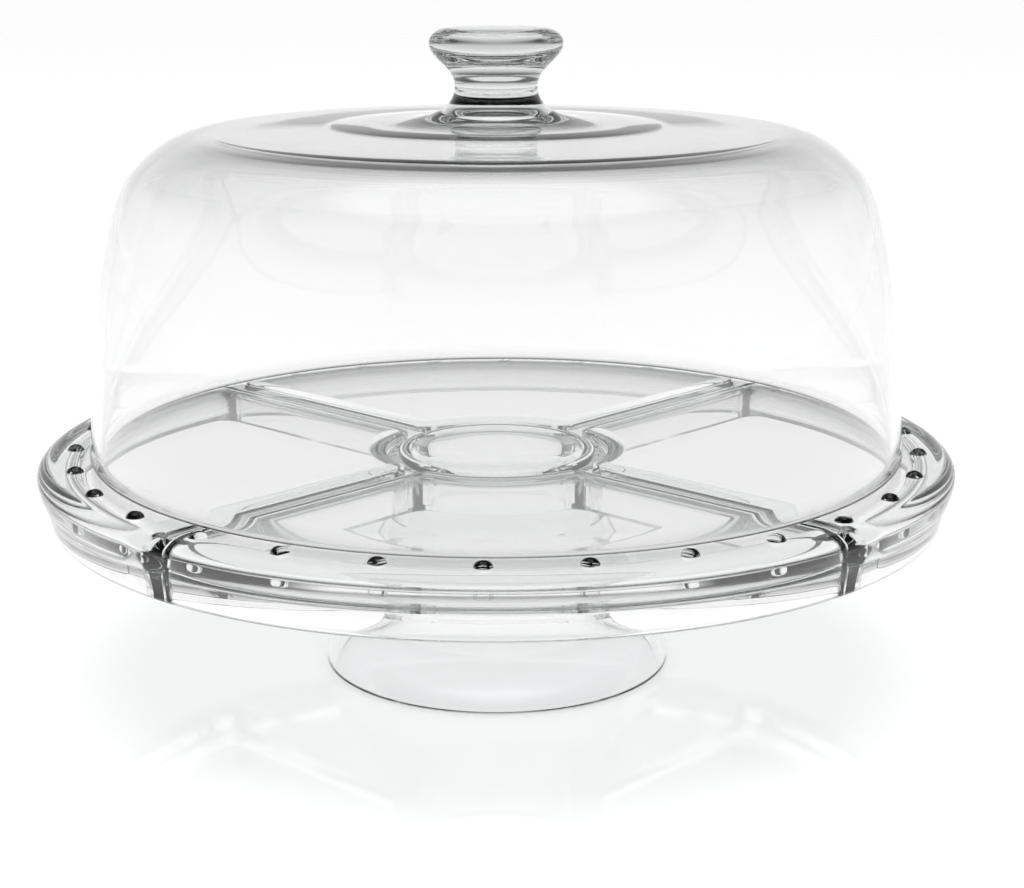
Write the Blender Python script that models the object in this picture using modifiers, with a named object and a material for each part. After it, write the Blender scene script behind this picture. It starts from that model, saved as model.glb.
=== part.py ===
"""A footed glass cake plate with a glass dome that lifts off it.

The plate and the dome are each one pressed piece of glass. They are modelled here as the
shapes that make them up: a disc, a beaded rim with its skirt, a foot in two halves and four
dividing walls for the plate, and a shell and a knob for the dome. The origin is on the
axis, at the bottom of the foot, with +Z up. Everything is in metres.
"""

import math

import bmesh
import bpy
from mathutils import Matrix, Vector

MM = 0.001
GAP = 0.3 * MM  # kept between neighbouring solids

# The plate
PLATE_TOP = 82.0 * MM
PLATE_UNDERSIDE = 76.0 * MM
RIM_RADIUS = 165.0 * MM
RIM_WIDEST_HEIGHT = 77.5 * MM
DISC_RADIUS = 148.2 * MM
SKIRT_BOTTOM = 61.1 * MM
SKIRT_BOTTOM_RADIUS = 160.5 * MM
SKIRT_INNER_RADIUS = 155.5 * MM
SKIRT_INNER_TOP_RADIUS = 154.0 * MM

# The beads on the rim
BEAD_COUNT = 30
BEAD_CIRCLE_RADIUS = 152.2 * MM
BEAD_RADIUS = 3.2 * MM
BEAD_HEIGHT = 2.2 * MM

# The dividing walls under the plate
DIVIDER_COUNT = 4
DIVIDER_THICKNESS = 6.0 * MM
FIRST_DIVIDER = math.radians(45)

# The foot
FOOT_RADIUS = 63.6 * MM
FOOT_WALL = 4.0 * MM
NECK_RADIUS = 40.0 * MM
NECK_HEIGHT = 58.0 * MM
FLANGE_RADIUS = 47.0 * MM
FOOT_SPLIT = 36.0 * MM

# The dome
DOME_RADIUS = 146.4 * MM
DOME_WALL = 3.5 * MM
SHOULDER_RADIUS = 127.0 * MM
SHOULDER_HEIGHT = 183.2 * MM
CROWN_RADIUS = 101.0 * MM
CROWN_HEIGHT = 195.9 * MM
CROWN_STEP_RADIUS = 57.5 * MM
CROWN_STEP = 0.4 * MM
KNOB_SEAT_HEIGHT = 199.6 * MM

# The knob
KNOB_TOP = 230.8 * MM
KNOB_RADIUS = 23.6 * MM
KNOB_WIDEST_HEIGHT = 225.7 * MM
KNOB_FACE_RADIUS = 16.5 * MM
WAIST_RADIUS = 14.6 * MM
WAIST_HEIGHT = 211.0 * MM
FLARE_RADIUS = 20.5 * MM


def clear_scene():
    for thing in list(bpy.data.objects):
        bpy.data.objects.remove(thing, do_unlink=True)


def new_collection(name):
    collection = bpy.data.collections.new(name)
    bpy.context.scene.collection.children.link(collection)
    return collection


def glass(name, colour, roughness):
    """A clear pressed glass with a slight tint of its own."""
    material = bpy.data.materials.new(name)
    material.use_nodes = True
    shader = material.node_tree.nodes["Principled BSDF"]
    shader.inputs["Base Color"].default_value = (*colour, 1.0)
    shader.inputs["Roughness"].default_value = roughness
    shader.inputs["Metallic"].default_value = 0.0
    shader.inputs["IOR"].default_value = 1.52
    shader.inputs["Transmission Weight"].default_value = 0.85
    material.diffuse_color = (*colour, 0.5)
    return material


def bezier(start, pull_start, pull_end, end, steps):
    """Points along a cubic curve, both ends included."""
    points = []
    for step in range(steps + 1):
        t = step / steps
        weights = ((1 - t) ** 3, 3 * t * (1 - t) ** 2, 3 * t * t * (1 - t), t**3)
        corners = (start, pull_start, pull_end, end)
        points.append(
            tuple(sum(w * c[axis] for w, c in zip(weights, corners)) for axis in (0, 1))
        )
    return points


def quarter_round(centre, radii, first, last, steps):
    """Points along an arc of an ellipse, given in degrees from +X."""
    points = []
    for step in range(steps + 1):
        angle = math.radians(first + (last - first) * step / steps)
        points.append(
            (
                centre[0] + radii[0] * math.cos(angle),
                centre[1] + radii[1] * math.sin(angle),
            )
        )
    return points


def inset(points, thickness):
    """The same run of points moved to its right-hand side by a wall's thickness."""
    moved = []
    for index, point in enumerate(points):
        before = Vector(points[max(index - 1, 0)])
        after = Vector(points[min(index + 1, len(points) - 1)])
        along = (after - before).normalized()
        moved.append((point[0] + along.y * thickness, point[1] - along.x * thickness))
    return moved


def turned(name, outline, segments, closed, collection, material):
    """A solid of revolution from (radius, height) points that run down its outer side."""
    mesh = bpy.data.meshes.new(name)
    edges = [(i, i + 1) for i in range(len(outline) - 1)]
    if closed:
        edges.append((len(outline) - 1, 0))
    mesh.from_pydata([(r, 0.0, z) for r, z in outline], edges, [])
    thing = bpy.data.objects.new(name, mesh)
    collection.objects.link(thing)
    thing.data.materials.append(material)
    screw = thing.modifiers.new("Turning", "SCREW")
    screw.axis = "Z"
    screw.angle = math.tau
    screw.steps = segments
    screw.render_steps = segments
    screw.use_smooth_shade = True
    screw.use_merge_vertices = True
    screw.merge_threshold = 0.00002
    return thing


def plate_disc(collection, material):
    """The flat middle of the plate, as far as the rim."""
    outline = [
        (0.0, PLATE_TOP),
        (DISC_RADIUS, PLATE_TOP),
        (DISC_RADIUS, PLATE_UNDERSIDE),
        (0.0, PLATE_UNDERSIDE),
    ]
    return turned("plate_disc", outline, 72, False, collection, material)


def bead_forms(collection, material):
    """Thirty low round beads, joined to the rim below."""
    beads = bmesh.new()
    for index in range(BEAD_COUNT):
        angle = FIRST_DIVIDER + math.tau * index / BEAD_COUNT
        place = (
            Matrix.Rotation(angle, 4, "Z")
            @ Matrix.Translation((BEAD_CIRCLE_RADIUS, 0.0, PLATE_TOP))
            @ Matrix.Diagonal((1.0, 1.0, BEAD_HEIGHT / BEAD_RADIUS, 1.0))
        )
        bmesh.ops.create_uvsphere(
            beads, u_segments=12, v_segments=6, radius=BEAD_RADIUS, matrix=place
        )
    mesh = bpy.data.meshes.new("bead_forms")
    beads.to_mesh(mesh)
    beads.free()
    thing = bpy.data.objects.new("bead_forms", mesh)
    collection.objects.link(thing)
    thing.data.materials.append(material)
    thing.hide_render = True
    thing.display_type = "WIRE"
    return thing


def plate_rim(collection, helpers, material):
    """The beaded edge of the plate and the skirt that hangs from it."""
    inner_edge = DISC_RADIUS + GAP
    corner_radii = (RIM_RADIUS - 158.5 * MM, PLATE_TOP - RIM_WIDEST_HEIGHT)
    outline = [(inner_edge, PLATE_TOP)]
    outline += quarter_round((158.5 * MM, RIM_WIDEST_HEIGHT), corner_radii, 90, 0, 5)
    foot_radius = 1.5 * MM
    outline += quarter_round(
        (SKIRT_BOTTOM_RADIUS - foot_radius, SKIRT_BOTTOM + foot_radius),
        (foot_radius, foot_radius),
        0,
        -90,
        2,
    )
    outline += quarter_round(
        (SKIRT_INNER_RADIUS + foot_radius, SKIRT_BOTTOM + foot_radius),
        (foot_radius, foot_radius),
        -90,
        -180,
        2,
    )
    outline += [(SKIRT_INNER_TOP_RADIUS, PLATE_UNDERSIDE), (inner_edge, PLATE_UNDERSIDE)]
    rim = turned("plate_rim", outline, 72, True, collection, material)
    union = rim.modifiers.new("Beads", "BOOLEAN")
    union.operation = "UNION"
    union.solver = "EXACT"
    union.object = bead_forms(helpers, material)
    return rim


def foot_side():
    """The foot's outer side, from under the plate down to its widest ring."""
    bell = bezier(
        (NECK_RADIUS, NECK_HEIGHT),
        (NECK_RADIUS, 38.0 * MM),
        (60.0 * MM, 31.0 * MM),
        (63.0 * MM, 7.0 * MM),
        9,
    )
    fillet = FLANGE_RADIUS - NECK_RADIUS
    flare = quarter_round(
        (FLANGE_RADIUS, PLATE_UNDERSIDE - GAP - fillet), (fillet, fillet), 90, 180, 4
    )
    return flare + bell


def between_heights(points, low, high):
    """The stretch of a falling run of points between two heights, cut level at both."""
    kept = []
    for above, below in zip(points, points[1:]):
        for level in (high, low):
            if below[1] < level < above[1]:
                share = (above[1] - level) / (above[1] - below[1])
                kept.append((above[0] + share * (below[0] - above[0]), level))
        if low < below[1] < high:
            kept.append(below)
    return kept


def foot_inner_side():
    """The wall of the foot's hollow, from the top down."""
    wall = inset(foot_side()[4:], FOOT_WALL)
    return [(wall[0][0], PLATE_UNDERSIDE - GAP)] + wall


def foot_neck(collection, material):
    """The narrow upper half of the foot, flared into the plate and open right through."""
    low = FOOT_SPLIT + GAP / 2
    outer = foot_side()[:1] + between_heights(foot_side(), low, PLATE_UNDERSIDE)
    inner = foot_inner_side()[:1] + between_heights(foot_inner_side(), low, PLATE_UNDERSIDE)
    outline = outer + inner[::-1]
    return turned("foot_neck", outline, 48, True, collection, material)


def foot_bell(collection, material):
    """The wide lower half of the foot, with the ring that the object stands on."""
    high = FOOT_SPLIT - GAP / 2
    outer = between_heights(foot_side(), 0.0, high)
    outer += [(FOOT_RADIUS, 2.0 * MM), (63.2 * MM, 0.5 * MM), (62.6 * MM, 0.0)]
    inner = between_heights(foot_inner_side(), 0.0, high)
    outline = outer + [(60.2 * MM, 0.0), (59.4 * MM, 0.6 * MM)] + inner[::-1]
    return turned("foot_bell", outline, 48, True, collection, material)


def divider_outline():
    """A divider's flat side as (radius, height): it follows the foot's flare and the skirt."""
    top = PLATE_UNDERSIDE - GAP
    beside_foot = inset([point for point in foot_side() if point[1] > SKIRT_BOTTOM], -GAP)
    outer_end = SKIRT_INNER_TOP_RADIUS - 2 * GAP
    below = [
        (SKIRT_INNER_RADIUS - 4 * GAP, SKIRT_BOTTOM),
        (NECK_RADIUS + GAP, SKIRT_BOTTOM),
    ]
    return [(FLANGE_RADIUS + 2 * GAP, top), (outer_end, top)] + below + beside_foot[::-1]


def divider_rib(number, collection, material):
    """One of the dividing walls under the plate, from the foot to the skirt."""
    name = f"divider_rib_{number + 1}"
    curve = bpy.data.curves.new(name, "CURVE")
    curve.dimensions = "2D"
    curve.fill_mode = "BOTH"
    curve.extrude = DIVIDER_THICKNESS / 2
    spline = curve.splines.new("POLY")
    outline = divider_outline()
    spline.points.add(len(outline) - 1)
    for point, (radius, height) in zip(spline.points, outline):
        point.co = (radius, height, 0.0, 1.0)
    spline.use_cyclic_u = True
    rib = bpy.data.objects.new(name, curve)
    collection.objects.link(rib)
    angle = FIRST_DIVIDER + math.tau * number / DIVIDER_COUNT
    rib.rotation_euler = (math.radians(90), 0.0, angle)
    rib.data.materials.append(material)
    return rib


def dome_outer_side():
    """The dome's outer side, from its rim up to the middle of the crown."""
    wall = bezier(
        (DOME_RADIUS, PLATE_TOP + GAP + 1.2 * MM),
        (142.6 * MM, 127.0 * MM),
        (138.8 * MM, 171.4 * MM),
        (SHOULDER_RADIUS, SHOULDER_HEIGHT),
        10,
    )
    shoulder = bezier(
        (SHOULDER_RADIUS, SHOULDER_HEIGHT),
        (118.0 * MM, 192.2 * MM),
        (111.0 * MM, 195.3 * MM),
        (CROWN_RADIUS, CROWN_HEIGHT),
        5,
    )
    crown = [
        (CROWN_STEP_RADIUS + CROWN_STEP, 197.5 * MM),
        (CROWN_STEP_RADIUS - CROWN_STEP, 197.5 * MM + CROWN_STEP),
        (FLARE_RADIUS + 2 * MM, KNOB_SEAT_HEIGHT),
    ]
    return wall + shoulder[1:] + crown


def dome_shell(collection, material):
    """The dome's wall and crown, open below, standing on the plate inside the beads."""
    outer = dome_outer_side()
    inner = inset(outer, -DOME_WALL)
    rim_bottom = PLATE_TOP + GAP
    outline = [(0.0, KNOB_SEAT_HEIGHT)] + outer[::-1]
    outline += [
        (DOME_RADIUS - 1.0 * MM, rim_bottom),
        (DOME_RADIUS - DOME_WALL + 1.0 * MM, rim_bottom),
    ]
    outline += inner
    outline.append((0.0, inner[-1][1]))
    return turned("dome_shell", outline, 64, False, collection, material)


def dome_knob(collection, material):
    """The solid knob: a flat-topped button on a waist that flares into the crown."""
    base = KNOB_SEAT_HEIGHT + GAP
    outline = [(0.0, KNOB_TOP)]
    outline += quarter_round(
        (KNOB_FACE_RADIUS, KNOB_WIDEST_HEIGHT),
        (KNOB_RADIUS - KNOB_FACE_RADIUS, KNOB_TOP - KNOB_WIDEST_HEIGHT),
        90,
        0,
        6,
    )
    outline += bezier(
        (KNOB_RADIUS, KNOB_WIDEST_HEIGHT),
        (KNOB_RADIUS, 220.0 * MM),
        (WAIST_RADIUS, 217.5 * MM),
        (WAIST_RADIUS, WAIST_HEIGHT),
        7,
    )[1:]
    outline += bezier(
        (WAIST_RADIUS, WAIST_HEIGHT),
        (WAIST_RADIUS, 206.5 * MM),
        (16.5 * MM, 203.5 * MM),
        (FLARE_RADIUS, base),
        5,
    )[1:]
    outline.append((0.0, base))
    return turned("dome_knob", outline, 40, False, collection, material)


def main():
    clear_scene()
    parts = new_collection("cake_plate_with_dome")
    helpers = new_collection("helper_shapes")
    plate_glass = glass("plate_glass", (0.86, 0.89, 0.88), 0.03)
    dome_glass = glass("dome_glass", (0.9, 0.92, 0.92), 0.02)
    plate_disc(parts, plate_glass)
    plate_rim(parts, helpers, plate_glass)
    foot_neck(parts, plate_glass)
    foot_bell(parts, plate_glass)
    for number in range(DIVIDER_COUNT):
        divider_rib(number, parts, plate_glass)
    dome_shell(parts, dome_glass)
    dome_knob(parts, dome_glass)


main()
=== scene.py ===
"""A clear pressed-glass dome on its footed plate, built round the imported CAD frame."""

import math

import bpy
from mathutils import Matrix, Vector


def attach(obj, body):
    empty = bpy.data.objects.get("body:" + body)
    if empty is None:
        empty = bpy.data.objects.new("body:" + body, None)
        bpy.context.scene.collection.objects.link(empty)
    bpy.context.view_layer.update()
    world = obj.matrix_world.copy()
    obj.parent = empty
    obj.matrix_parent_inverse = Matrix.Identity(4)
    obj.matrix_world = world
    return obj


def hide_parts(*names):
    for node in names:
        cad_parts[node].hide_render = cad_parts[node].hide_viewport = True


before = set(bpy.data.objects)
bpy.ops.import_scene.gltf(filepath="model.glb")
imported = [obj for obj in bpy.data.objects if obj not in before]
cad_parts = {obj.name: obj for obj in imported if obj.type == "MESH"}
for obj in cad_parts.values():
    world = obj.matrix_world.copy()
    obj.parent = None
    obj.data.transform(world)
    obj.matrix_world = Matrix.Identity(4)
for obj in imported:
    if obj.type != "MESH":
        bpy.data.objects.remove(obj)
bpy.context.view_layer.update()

# The footed plate: one pressing of clear soda-lime glass. A flat disc runs out into a thick round
# edge and a tapered skirt, and stands on a hollow bell foot. It leaves the mould upside down.

MM = 0.001
TURNING_STEPS = 240

PLATE_TOP = 82.0
PLATE_UNDERSIDE = 76.0
EDGE_CENTRE = (158.5, 77.5)
EDGE_RADII = (6.5, 4.5)
SKIRT_BOTTOM = 60.7
SKIRT_BOTTOM_RADIUS = 161.0
LIP_RADIUS = 2.2

FOOT_WALL = 4.0
FOOT_RIM_ROUNDING = 1.0
NECK_RADIUS = 40.0
NECK_HEIGHT = 58.0
DIP_RADIUS = 36.0
DIP_ROUNDING = 6.0
SMOOTH_UNDER = math.radians(32)


def bezier(start, pull_start, pull_end, end, steps):
    """Points along a smooth curve, without the first one."""
    points = []
    for step in range(1, steps + 1):
        t = step / steps
        weights = ((1 - t) ** 3, 3 * t * (1 - t) ** 2, 3 * t * t * (1 - t), t ** 3)
        corners = (start, pull_start, pull_end, end)
        points.append(tuple(sum(w * c[axis] for w, c in zip(weights, corners)) for axis in (0, 1)))
    return points


def rounded(centre, radii, first, last, steps):
    """Points along part of an ellipse, from one angle to another in degrees."""
    points = []
    for step in range(steps + 1):
        angle = math.radians(first + (last - first) * step / steps)
        across = centre[0] + radii[0] * math.cos(angle)
        up = centre[1] + radii[1] * math.sin(angle)
        points.append((across, up))
    return points


def inner_side(points, wall):
    """The same line moved sideways by the wall's thickness, to the right of the way it runs."""
    moved = []
    for index, point in enumerate(points):
        before = Vector(points[max(index - 1, 0)])
        after = Vector(points[min(index + 1, len(points) - 1)])
        along = (after - before).normalized()
        moved.append((point[0] + along.y * wall, point[1] - along.x * wall))
    return moved


def turned(name, outline):
    """Traces an outline of (radius, height) and spins it once round the upright axis."""
    bpy.ops.object.select_all(action="DESELECT")
    bpy.ops.mesh.primitive_plane_add(size=MM)
    piece = bpy.context.object
    piece.name = name
    bpy.ops.object.mode_set(mode="EDIT")
    bpy.ops.mesh.select_mode(type="VERT")
    bpy.ops.mesh.merge(type="CENTER")
    bpy.ops.transform.translate(value=(outline[0][0] * MM, 0, outline[0][1] * MM))
    for here, there in zip(outline, outline[1:]):
        step = ((there[0] - here[0]) * MM, 0, (there[1] - here[1]) * MM)
        bpy.ops.mesh.extrude_vertices_move(TRANSFORM_OT_translate={"value": step})
    bpy.ops.mesh.select_all(action="SELECT")
    bpy.ops.mesh.spin(steps=TURNING_STEPS, angle=math.tau, center=(0, 0, 0), axis=(0, 0, 1))
    bpy.ops.mesh.select_all(action="SELECT")
    bpy.ops.mesh.remove_doubles(threshold=0.001 * MM)
    bpy.ops.mesh.normals_make_consistent(inside=False)
    bpy.ops.object.mode_set(mode="OBJECT")
    return piece


bell = bezier((NECK_RADIUS, NECK_HEIGHT), (40, 38), (60, 31), (63, 7), 22)
foot_outside = [(NECK_RADIUS, SKIRT_BOTTOM), (NECK_RADIUS, NECK_HEIGHT)] + bell
foot_inside = inner_side([(NECK_RADIUS, 70.0), (NECK_RADIUS, NECK_HEIGHT)] + bell, FOOT_WALL)
plate_outline = [(0, PLATE_TOP), (60, PLATE_TOP), (120, PLATE_TOP), (157.9, PLATE_TOP)]
plate_outline += rounded(EDGE_CENTRE, EDGE_RADII, 90, 0, 12)
lip_height = SKIRT_BOTTOM + LIP_RADIUS
lip_centre = (SKIRT_BOTTOM_RADIUS - LIP_RADIUS, lip_height)
lip_top = (SKIRT_BOTTOM_RADIUS, lip_height)
plate_outline += bezier((165, 77.5), (164.9, 73.6), (162.2, 68.9), lip_top, 10)
plate_outline += rounded(lip_centre, (LIP_RADIUS, LIP_RADIUS), -8, -90, 8)
plate_outline += [(140, SKIRT_BOTTOM), (90, SKIRT_BOTTOM)]
plate_outline += foot_outside
rim_radii = (FOOT_RIM_ROUNDING, FOOT_RIM_ROUNDING)
plate_outline += rounded((62.6, FOOT_RIM_ROUNDING), rim_radii, 0, -90, 7)
plate_outline += rounded((60.6, FOOT_RIM_ROUNDING), rim_radii, -90, -180, 6)
plate_outline += foot_inside[::-1]
dip_centre = (DIP_RADIUS - DIP_ROUNDING, PLATE_UNDERSIDE - DIP_ROUNDING)
plate_outline += rounded(dip_centre, (DIP_ROUNDING, DIP_ROUNDING), 0, 90, 8)
plate_outline += [(15, PLATE_UNDERSIDE), (0, PLATE_UNDERSIDE)]
plate = turned("footed_plate", plate_outline)

# The four hollows under the plate, left by the mould's plunger. The walls between them are the
# tray's dividers, when the plate is turned over. Every inside corner is rounded.

RIB_HALF_WIDTH = 2.6
HOLLOW_OUTER = 155.7
HOLLOW_INNER = 40.15
HOLLOW_FLOOR = 52.0
CORNER_RADIUS = 8.0
FILLET_RADIUS = 6.6
FILLET_STEPS = 9
DRAFT = 0.5
FIRST_LIFT = 3.0
CEILING_INSET = 0.4
DIVIDER_BEARINGS = (45, 135, 225, 315)


def hollow_corner(inner):
    """The rounded corner of a hollow at +Y, beside a divider that runs along +X."""
    away = RIB_HALF_WIDTH + CORNER_RADIUS
    reach = HOLLOW_INNER + CORNER_RADIUS if inner else HOLLOW_OUTER - CORNER_RADIUS
    along = math.sqrt(reach * reach - away * away)
    bearing = math.degrees(math.atan2(away, along))
    last = bearing + 180 if inner else bearing
    if not inner:
        last += 360
    return rounded((along, away), (CORNER_RADIUS, CORNER_RADIUS), 270, last, 9)


def hollow_outline():
    """The mouth of one hollow, between dividers at 0 and 90 degrees, anticlockwise."""
    inner = hollow_corner(True)[::-1]
    outer = hollow_corner(False)
    from_here, to_there = inner[-1][0], outer[0][0]
    side = [((from_here * (8 - step) + to_there * step) / 8, RIB_HALF_WIDTH)
            for step in range(1, 8)]
    half = inner + side + outer
    rim_angle = math.degrees(math.atan2(outer[-1][1], outer[-1][0]))
    neck_angle = math.degrees(math.atan2(inner[0][1], inner[0][0]))
    outer_radii, inner_radii = (HOLLOW_OUTER, HOLLOW_OUTER), (HOLLOW_INNER, HOLLOW_INNER)
    rim = rounded((0, 0), outer_radii, rim_angle, 90 - rim_angle, 56)[1:-1]
    neck = rounded((0, 0), inner_radii, 90 - neck_angle, neck_angle, 40)[1:-1]
    other_half = [(y, x) for x, y in half[::-1]]
    return half + rim + other_half + neck


def mesh_hollow():
    """A block the shape of one hollow, between dividers at 0 and 90 degrees."""
    outline = hollow_outline()
    bpy.ops.object.select_all(action="DESELECT")
    bpy.ops.mesh.primitive_plane_add(size=MM)
    block = bpy.context.object
    block.name = "hollow"
    bpy.ops.object.mode_set(mode="EDIT")
    bpy.ops.mesh.select_mode(type="VERT")
    bpy.ops.mesh.merge(type="CENTER")
    bpy.ops.transform.translate(value=(outline[0][0] * MM, outline[0][1] * MM, HOLLOW_FLOOR * MM))
    for here, there in zip(outline, outline[1:] + outline[:1]):
        step = ((there[0] - here[0]) * MM, (there[1] - here[1]) * MM, 0)
        bpy.ops.mesh.extrude_vertices_move(TRANSFORM_OT_translate={"value": step})
    bpy.ops.mesh.select_all(action="SELECT")
    bpy.ops.mesh.remove_doubles(threshold=0.01 * MM)
    bpy.ops.mesh.edge_face_add()
    bpy.ops.mesh.select_mode(type="FACE")
    bpy.ops.mesh.select_all(action="SELECT")
    bpy.ops.mesh.extrude_region_move(TRANSFORM_OT_translate={"value": (0, 0, FIRST_LIFT * MM)})
    bpy.ops.mesh.select_all(action="SELECT")
    bpy.ops.mesh.normals_make_consistent(inside=False)
    bpy.ops.mesh.select_all(action="DESELECT")
    bpy.ops.object.mode_set(mode="OBJECT")
    for face in block.data.polygons:
        face.select = face.normal.z > 0.9
    bpy.ops.object.mode_set(mode="EDIT")
    straight = PLATE_UNDERSIDE - FILLET_RADIUS - HOLLOW_FLOOR - FIRST_LIFT
    bpy.ops.mesh.inset(thickness=DRAFT * MM, depth=straight * MM)
    for step in range(FILLET_STEPS):
        here = math.radians(90 * step / FILLET_STEPS)
        there = math.radians(90 * (step + 1) / FILLET_STEPS)
        inward = FILLET_RADIUS * (math.cos(here) - math.cos(there))
        upward = FILLET_RADIUS * (math.sin(there) - math.sin(here))
        bpy.ops.mesh.inset(thickness=inward * MM, depth=upward * MM)
    bpy.ops.mesh.inset(thickness=CEILING_INSET * MM, depth=0)
    bpy.ops.mesh.select_all(action="SELECT")
    bpy.ops.mesh.normals_make_consistent(inside=False)
    bpy.ops.object.mode_set(mode="OBJECT")
    return block


def copied_round(piece, turns):
    """Copies a piece, each copy with its own mesh turned about the upright axis, in degrees."""
    copies = []
    for turn in turns:
        bpy.ops.object.select_all(action="DESELECT")
        piece.select_set(True)
        bpy.context.view_layer.objects.active = piece
        bpy.ops.object.duplicate(linked=False)
        copy = bpy.context.object
        bpy.ops.object.mode_set(mode="EDIT")
        bpy.ops.mesh.select_all(action="SELECT")
        bpy.ops.transform.rotate(value=math.radians(turn), orient_axis="Z",
                                 center_override=(0, 0, 0))
        bpy.ops.object.mode_set(mode="OBJECT")
        copies.append(copy)
    bpy.data.objects.remove(piece)
    return copies


def joined_in(piece, tool, operation):
    """Cuts a tool from a piece or joins it on, and puts the tool away."""
    bpy.ops.object.select_all(action="DESELECT")
    bpy.context.view_layer.objects.active = piece
    piece.select_set(True)
    change = piece.modifiers.new(operation.title(), "BOOLEAN")
    change.operation = operation
    change.object = tool
    change.solver = "EXACT"
    bpy.ops.object.modifier_apply(modifier=change.name)
    bpy.data.objects.remove(tool)


for hollow in copied_round(mesh_hollow(), DIVIDER_BEARINGS):
    joined_in(plate, hollow, "DIFFERENCE")

# The ring of beads on the plate's edge, pressed in one with it. They keep the dome in its place,
# and are the feet of the tray when the plate is turned over.

BEAD_COUNT = 30
BEAD_CIRCLE = 152.2
BEAD_RADIUS = 3.2
BEAD_HEIGHT = 2.2
BEAD_SINK = 1.2
BEAD_OVERSIZE = 1.04
BEAD_ROOT = 1.0
FIRST_BEAD = 45

bead_centre = (BEAD_CIRCLE * MM, 0, (PLATE_TOP - BEAD_SINK) * MM)
ball_radius = BEAD_RADIUS * BEAD_OVERSIZE
bead_squash = (BEAD_HEIGHT + BEAD_SINK) / ball_radius
bpy.ops.object.select_all(action="DESELECT")
bpy.ops.mesh.primitive_uv_sphere_add(segments=28, ring_count=14, radius=ball_radius * MM,
                                     location=bead_centre)
bead = bpy.context.object
bead.name = "bead"
bpy.ops.object.transform_apply(location=True, rotation=True, scale=True)
bpy.ops.object.mode_set(mode="EDIT")
bpy.ops.mesh.select_all(action="SELECT")
bpy.ops.transform.resize(value=(1, 1, bead_squash), center_override=bead_centre)
bpy.ops.mesh.bisect(plane_co=(0, 0, (PLATE_TOP - BEAD_ROOT) * MM), plane_no=(0, 0, -1),
                    use_fill=True, clear_outer=True)
bpy.ops.object.mode_set(mode="OBJECT")
bead_bearings = [FIRST_BEAD + number * 360 / BEAD_COUNT for number in range(BEAD_COUNT)]
beads = copied_round(bead, bead_bearings)
bpy.ops.object.select_all(action="DESELECT")
for bead in beads:
    bead.select_set(True)
bpy.context.view_layer.objects.active = beads[0]
bpy.ops.object.join()
joined_in(plate, beads[0], "UNION")
bpy.ops.object.select_all(action="DESELECT")
plate.select_set(True)
bpy.context.view_layer.objects.active = plate
bpy.ops.object.shade_smooth_by_angle(angle=SMOOTH_UNDER)


GLASS_TINT = (0.5, 0.54, 0.53, 1)
PRESSED_DENSITY = 9.0
BLOWN_DENSITY = 14.0


def clear_glass(name, density):
    """Clear soda-lime glass, faintly grey-green, with the slight waves that pressing leaves."""
    material = bpy.data.materials.new(name)
    material.use_nodes = True
    nodes = material.node_tree.nodes
    links = material.node_tree.links
    nodes.clear()
    output = nodes.new("ShaderNodeOutputMaterial")
    glass = nodes.new("ShaderNodeBsdfPrincipled")
    glass.inputs["Base Color"].default_value = (0.99, 0.99, 0.99, 1)
    glass.inputs["Transmission Weight"].default_value = 1.0
    glass.inputs["IOR"].default_value = 1.5
    places = nodes.new("ShaderNodeTexCoord")
    waves = nodes.new("ShaderNodeTexNoise")
    waves.inputs["Scale"].default_value = 22.0
    waves.inputs["Detail"].default_value = 1.0
    bump = nodes.new("ShaderNodeBump")
    bump.inputs["Strength"].default_value = 0.1
    bump.inputs["Distance"].default_value = 0.0003
    wear = nodes.new("ShaderNodeTexNoise")
    wear.inputs["Scale"].default_value = 160.0
    wear.inputs["Detail"].default_value = 6.0
    polish = nodes.new("ShaderNodeMapRange")
    polish.inputs["From Min"].default_value = 0.5
    polish.inputs["From Max"].default_value = 0.8
    polish.inputs["To Min"].default_value = 0.0
    polish.inputs["To Max"].default_value = 0.03
    body = nodes.new("ShaderNodeVolumeAbsorption")
    body.inputs["Color"].default_value = GLASS_TINT
    body.inputs["Density"].default_value = density
    lamps_through = nodes.new("ShaderNodeBsdfTransparent")
    lamps_through.inputs["Color"].default_value = (0.97, 0.975, 0.975, 1)
    rays = nodes.new("ShaderNodeLightPath")
    mix = nodes.new("ShaderNodeMixShader")
    links.new(places.outputs["Object"], waves.inputs["Vector"])
    links.new(places.outputs["Object"], wear.inputs["Vector"])
    links.new(waves.outputs["Fac"], bump.inputs["Height"])
    links.new(bump.outputs["Normal"], glass.inputs["Normal"])
    links.new(wear.outputs["Fac"], polish.inputs["Value"])
    links.new(polish.outputs["Result"], glass.inputs["Roughness"])
    links.new(rays.outputs["Is Shadow Ray"], mix.inputs["Fac"])
    links.new(glass.outputs["BSDF"], mix.inputs[1])
    links.new(lamps_through.outputs["BSDF"], mix.inputs[2])
    links.new(mix.outputs["Shader"], output.inputs["Surface"])
    links.new(body.outputs["Volume"], output.inputs["Volume"])
    return material


plate.data.materials.clear()
plate.data.materials.append(clear_glass("pressed_glass", PRESSED_DENSITY))
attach(plate, "stand")
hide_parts("plate_disc", "plate_rim", "foot_neck", "foot_bell",
            "divider_rib_1", "divider_rib_2", "divider_rib_3", "divider_rib_4")

# The dome: blown and pressed clear glass, thin in the wall and thicker round its shoulder, with
# a heavy solid knob drawn up out of the middle of its crown in the same glass.

DOME_RADIUS = 146.4
DOME_RIM_ROUNDING = 1.7
DOME_WALL = 3.5
KNOB_TOP = 230.8
KNOB_FACE = 16.5
KNOB_RADIUS = 23.6
KNOB_WIDEST = 225.7
WAIST = (14.6, 211.0)
WALL_START = (DOME_RADIUS, 84.2)
SHOULDER_START = (127.0, 183.2)
FLARE_START = (36, 198.75)
HOLLOW_EDGE = (16.6, 196.05)

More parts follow.
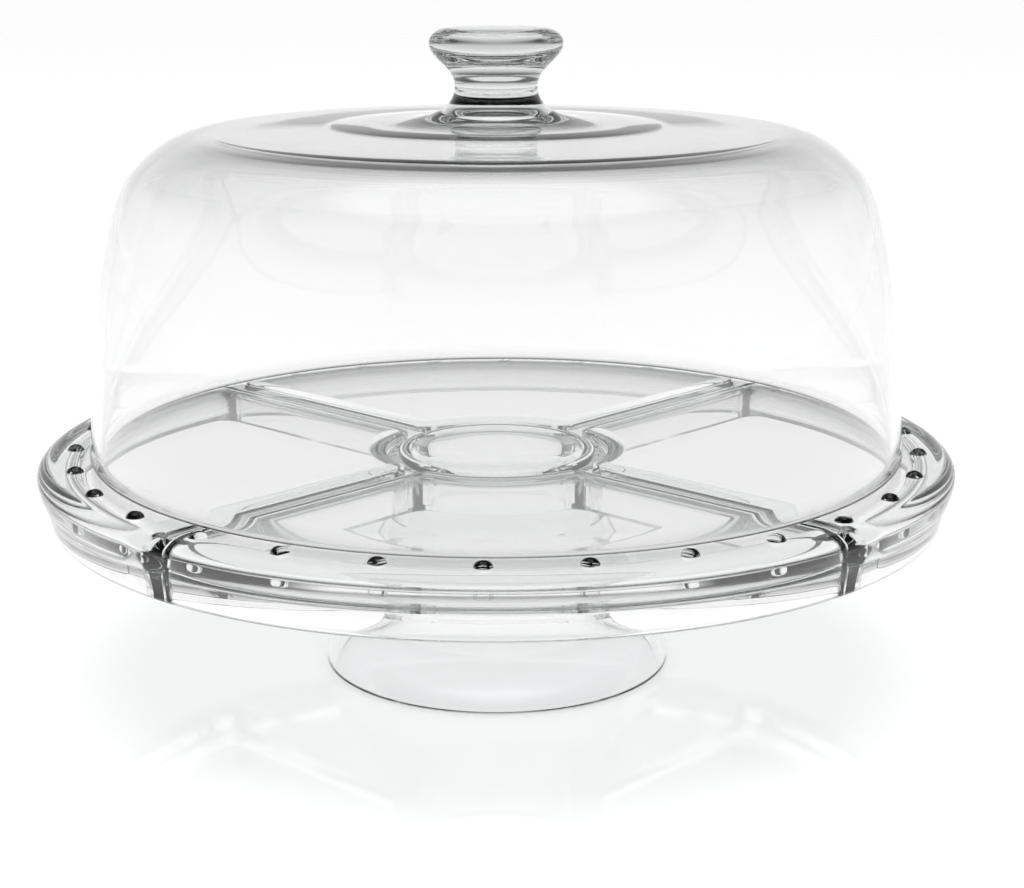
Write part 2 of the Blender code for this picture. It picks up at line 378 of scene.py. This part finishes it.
side_wall = [WALL_START] + bezier(WALL_START, (142.6, 127.0), (138.8, 171.4), SHOULDER_START, 26)
shoulder = bezier(SHOULDER_START, (118.0, 192.2), (111.0, 195.3), (101.0, 195.9), 12)
crown = [(90, 196.35), (75, 196.9), (62, 197.4), (58.6, 197.52), (57.5, 197.62), (56.4, 197.82)]
crown += [(45, 198.3), FLARE_START]
flare = bezier(FLARE_START, (23.5, 199.4), (14.6, 202.3), WAIST, 18)
head = bezier(WAIST, (14.6, 217.5), (KNOB_RADIUS, 220), (KNOB_RADIUS, KNOB_WIDEST), 14)
dome_outline = [(0, KNOB_TOP), (8, KNOB_TOP), (KNOB_FACE - 0.4, KNOB_TOP)]
knob_edge = (KNOB_RADIUS - KNOB_FACE, KNOB_TOP - KNOB_WIDEST)
dome_outline += rounded((KNOB_FACE, KNOB_WIDEST), knob_edge, 90, 0, 12)
dome_outline += head[::-1][1:] + [WAIST] + flare[::-1][1:] + [FLARE_START]
dome_outline += crown[::-1][1:] + shoulder[::-1] + side_wall[::-1]
rim_centre = (DOME_RADIUS - DOME_RIM_ROUNDING, 84.0)
dome_outline += rounded(rim_centre, (DOME_RIM_ROUNDING, DOME_RIM_ROUNDING), -10, -170, 8)
dome_outline += inner_side(side_wall + shoulder, -DOME_WALL)
dome_outline += [(90, 192.8), (75, 193.4), (62, 194.0), (45, 194.85), (32, 195.5), (24, 195.85)]
dome_outline += [(18, 196.0), HOLLOW_EDGE]
dome_outline += bezier(HOLLOW_EDGE, (15.2, 196.15), (12.5, 199.5), (0, 199.6), 12)
dome = turned("glass_dome", dome_outline)
bpy.ops.object.shade_smooth_by_angle(angle=SMOOTH_UNDER)
dome.data.materials.clear()
dome.data.materials.append(clear_glass("blown_glass", BLOWN_DENSITY))
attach(dome, "dome")
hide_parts("dome_shell", "dome_knob")

# The table: a plain pale floor with a soft polish, made from one flat disc. Soft light falls from
# above, and bright walls all round fade to a dark ceiling with one bright patch overhead.

FLOOR_RADIUS = 7.0
FLOOR_HEIGHT = -0.0002
SUN_STRENGTH = 3.35
SUN_SPREAD = math.radians(60)
CAMERA_PLACE = (-0.01872, -0.73218, 0.2667)
CAMERA_DIP = 14.24
CAMERA_TURN = -1.9
CAMERA_LENS = 72.37
LIGHT_BOUNCES = 32

ROOM_SHADES = ((0.49, 1.0), (0.51, 0.88), (0.6, 0.72), (0.67, 0.38),
               (0.74, 0.15), (0.86, 0.07), (0.93, 0.1), (0.96, 1.0))

bpy.ops.object.select_all(action="DESELECT")
bpy.ops.mesh.primitive_circle_add(vertices=96, radius=FLOOR_RADIUS, fill_type="NGON",
                                  location=(0, 0, FLOOR_HEIGHT))
floor = bpy.context.object
floor.name = "floor"
paper = bpy.data.materials.new("pale_floor")
paper.use_nodes = True
face = paper.node_tree.nodes["Principled BSDF"]
face.inputs["Base Color"].default_value = (0.92, 0.92, 0.92, 1)
face.inputs["Roughness"].default_value = 0.05
floor.data.materials.append(paper)

scene = bpy.context.scene
world = bpy.data.worlds.new("studio")
scene.world = world
world.use_nodes = True
sky = world.node_tree.nodes
joins = world.node_tree.links
where = sky.new("ShaderNodeTexCoord")
split = sky.new("ShaderNodeSeparateXYZ")
ramp = sky.new("ShaderNodeValToRGB")
stops = ramp.color_ramp.elements
stops[0].position = 0.0
stops[0].color = (1, 1, 1, 1)
stops[1].position = 1.0
stops[1].color = (1, 1, 1, 1)
for place, shade in ROOM_SHADES:
    stop = stops.new(place)
    stop.color = (shade, shade, shade, 1)
lift = sky.new("ShaderNodeMapRange")
lift.inputs["From Min"].default_value = -1.0
joins.new(split.outputs["Z"], lift.inputs["Value"])
joins.new(where.outputs["Generated"], split.inputs["Vector"])
joins.new(lift.outputs["Result"], ramp.inputs["Fac"])
joins.new(ramp.outputs["Color"], sky["Background"].inputs["Color"])

sun_data = bpy.data.lights.new("ceiling_light", "SUN")
sun_data.energy = SUN_STRENGTH
sun_data.angle = SUN_SPREAD
sun = bpy.data.objects.new("ceiling_light", sun_data)
sun.visible_glossy = False
sun.visible_transmission = False
scene.collection.objects.link(sun)

scene.view_settings.view_transform = "Standard"
scene.cycles.max_bounces = LIGHT_BOUNCES
scene.cycles.transmission_bounces = LIGHT_BOUNCES
scene.cycles.glossy_bounces = 8

camera_data = bpy.data.cameras.new("camera")
camera_data.lens = CAMERA_LENS
camera_data.sensor_width = 36
camera_data.clip_end = 60
camera = bpy.data.objects.new("camera", camera_data)
camera.location = CAMERA_PLACE
camera.rotation_euler = (math.radians(90 - CAMERA_DIP), 0, math.radians(CAMERA_TURN))
scene.collection.objects.link(camera)
scene.camera = camera
